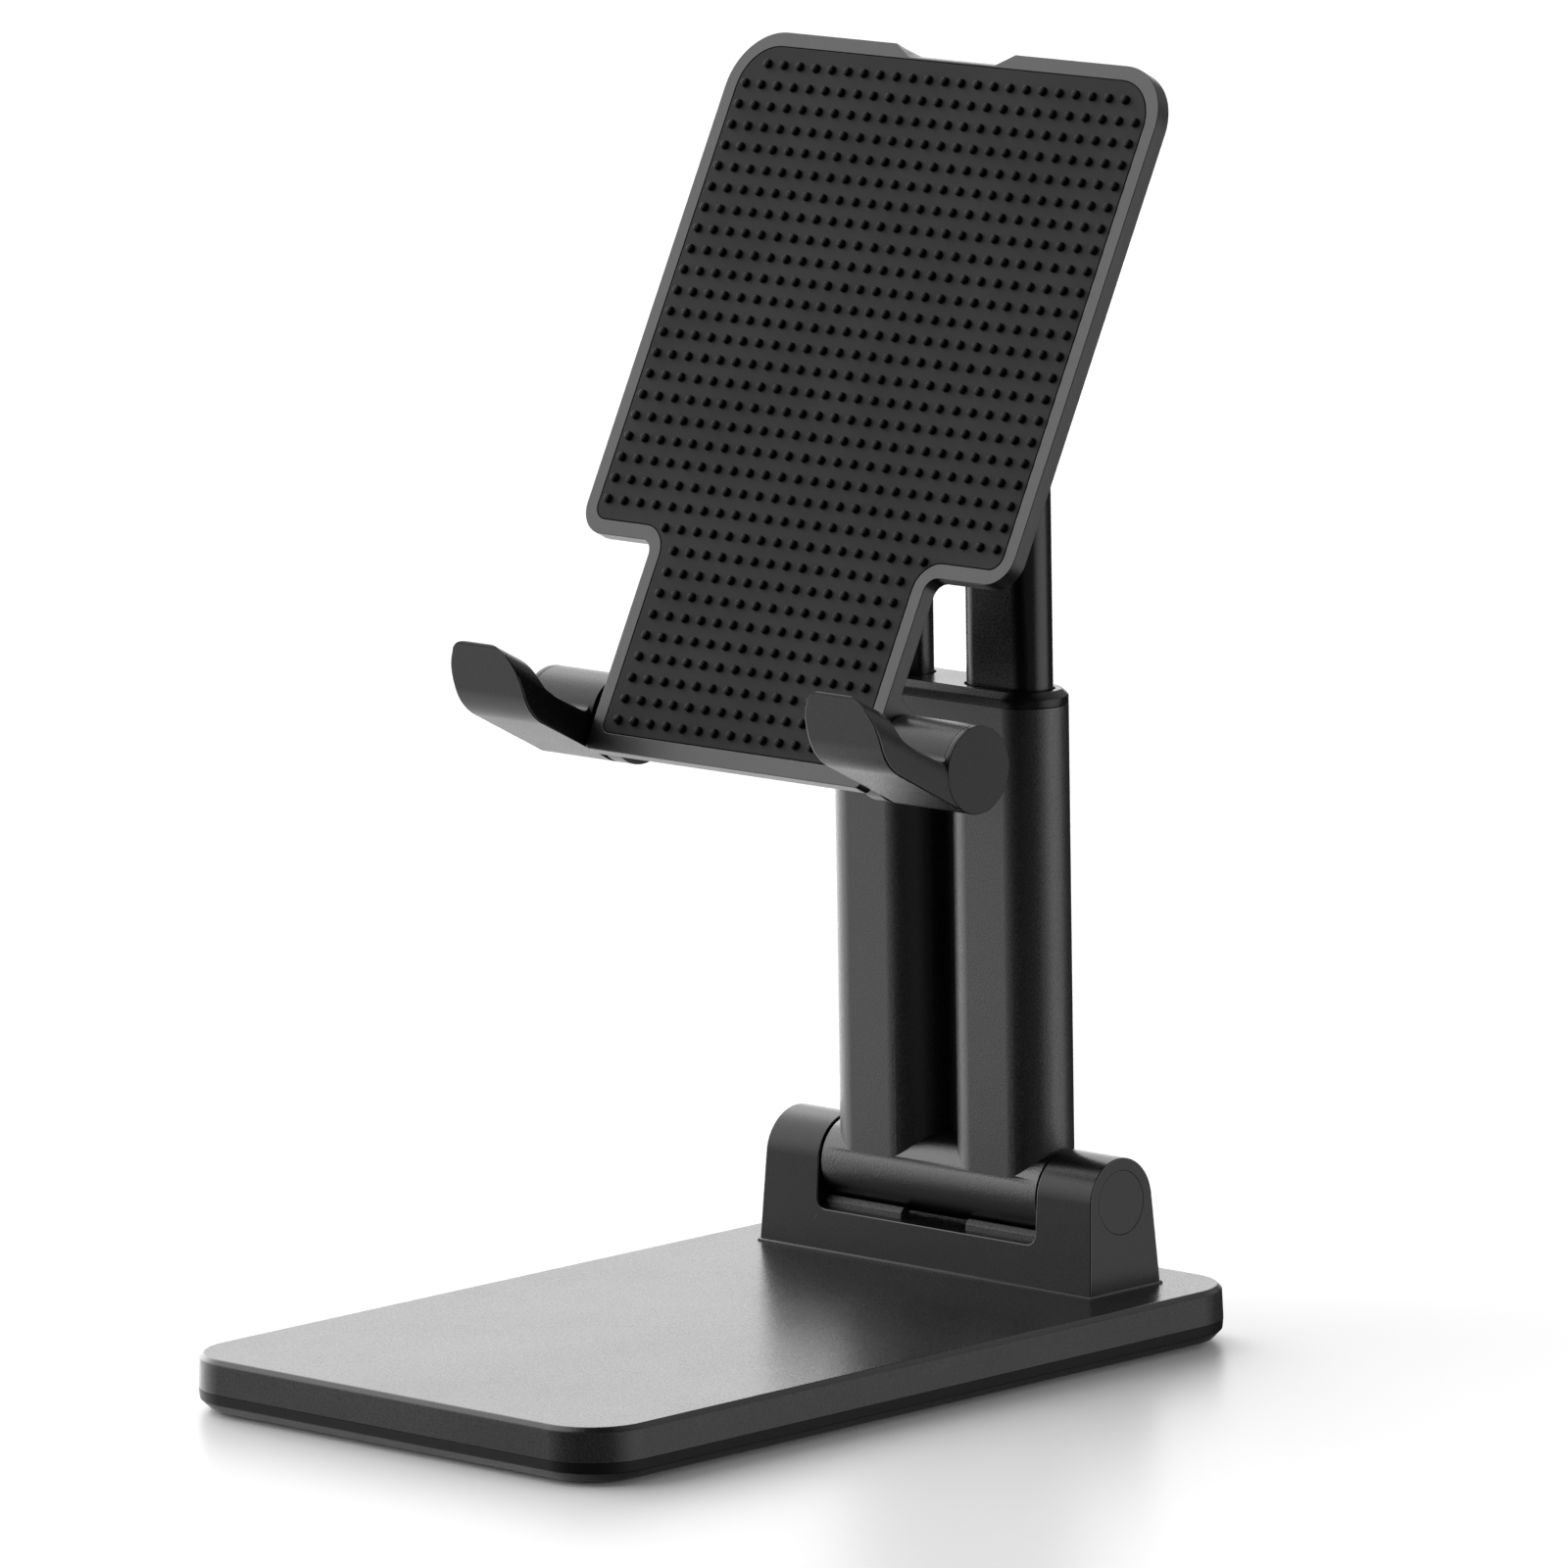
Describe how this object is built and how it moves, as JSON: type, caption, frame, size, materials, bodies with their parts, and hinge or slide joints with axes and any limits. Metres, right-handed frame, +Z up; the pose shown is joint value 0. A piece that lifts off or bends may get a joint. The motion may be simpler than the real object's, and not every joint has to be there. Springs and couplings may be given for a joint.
{
  "type": "phone stand",
  "caption": "folding desk phone stand: weighted base, hinged arm with telescoping rods, tilting padded back plate and fold-out hooks",
  "frame": {"origin": "middle of the underside of the foot pad on the desk", "axes": "+Z up, the stand and the phone face -Y, +X to the right of a person behind the stand facing the same way as it; right-hand parts are at +X"},
  "size_m": [0.0764, 0.12, 0.1661],
  "materials": {
    "base_shell": "satin moulded plastic with a fine grain",
    "base_tray": "satin moulded plastic",
    "weight_steel": "plain steel plate",
    "foot_rubber": "matt silicone",
    "screw_steel": "zinc-plated",
    "housing": "satin moulded plastic",
    "cap": "satin moulded plastic",
    "bumper": "matt elastomer",
    "pin_steel": "bright steel",
    "spring_steel": "spring steel",
    "washer": "acetal",
    "arm": "spark-eroded matt plastic",
    "rod": "smooth semi-gloss",
    "yoke": "satin moulded plastic",
    "plate": "satin moulded plastic",
    "silicone": "matt silicone with raised dots",
    "hook": "satin moulded plastic"
  },
  "bodies": {
    "base": {"base_cover": "base_shell", "base_tray": "base_tray", "base_weight": "weight_steel", "base_foot_pad": "foot_rubber", "base_screws": "screw_steel", "hinge_housing": "housing", "housing_screws": "screw_steel", "ear_cap_right": "cap", "ear_cap_left": "cap", "fold_bumpers": "bumper", "hinge_pin": "pin_steel", "hinge_nut": "screw_steel", "hinge_springs": "spring_steel"},
    "arm": {"lower_arm": "arm", "arm_bushings": "washer", "arm_cap": "arm", "slide_liners": "washer", "hinge_washers": "washer"},
    "rods": {"rod_right": "rod", "rod_left": "rod", "rod_stops": "washer", "head_yoke": "yoke", "head_screws": "screw_steel", "head_washers": "washer"},
    "plate": {"phone_plate": "plate", "silicone_pad": "silicone", "tilt_ear_right": "yoke", "tilt_ear_left": "yoke", "tilt_ear_screws": "screw_steel", "head_pin": "pin_steel", "head_nut": "screw_steel", "hook_pin_right": "pin_steel", "hook_pin_left": "pin_steel"},
    "hook_r": {"hook_right": "hook", "hook_cap_right": "cap", "hook_washer_right": "washer"},
    "hook_l": {"hook_left": "hook", "hook_cap_left": "cap", "hook_washer_left": "washer"}
  },
  "joints": [
    {"name": "arm_fold", "type": "hinge", "parent": "base", "child": "arm", "pos_m": [0, 0.04545, 0.019], "axis": [1, 0, 0], "range_deg": [-10, 58]},
    {"name": "rod_slide", "type": "slide", "parent": "arm", "child": "rods", "axis": [0, 0, 1], "range_m": [-0.04, 0]},
    {"name": "plate_tilt", "type": "hinge", "parent": "rods", "child": "plate", "pos_m": [0, 0.04545, 0.14243], "axis": [1, 0, 0], "range_deg": [-60, 27]},
    {"name": "hook_fold_right", "type": "hinge", "parent": "plate", "child": "hook_r", "pos_m": [0.0316, 0.01042, 0.08116], "axis": [1, 0, 0], "range_deg": [-90, 0]},
    {"name": "hook_fold_left", "type": "hinge", "parent": "plate", "child": "hook_l", "pos_m": [-0.0316, 0.01042, 0.08116], "axis": [1, 0, 0], "range_deg": [-90, 0]}
  ]
}
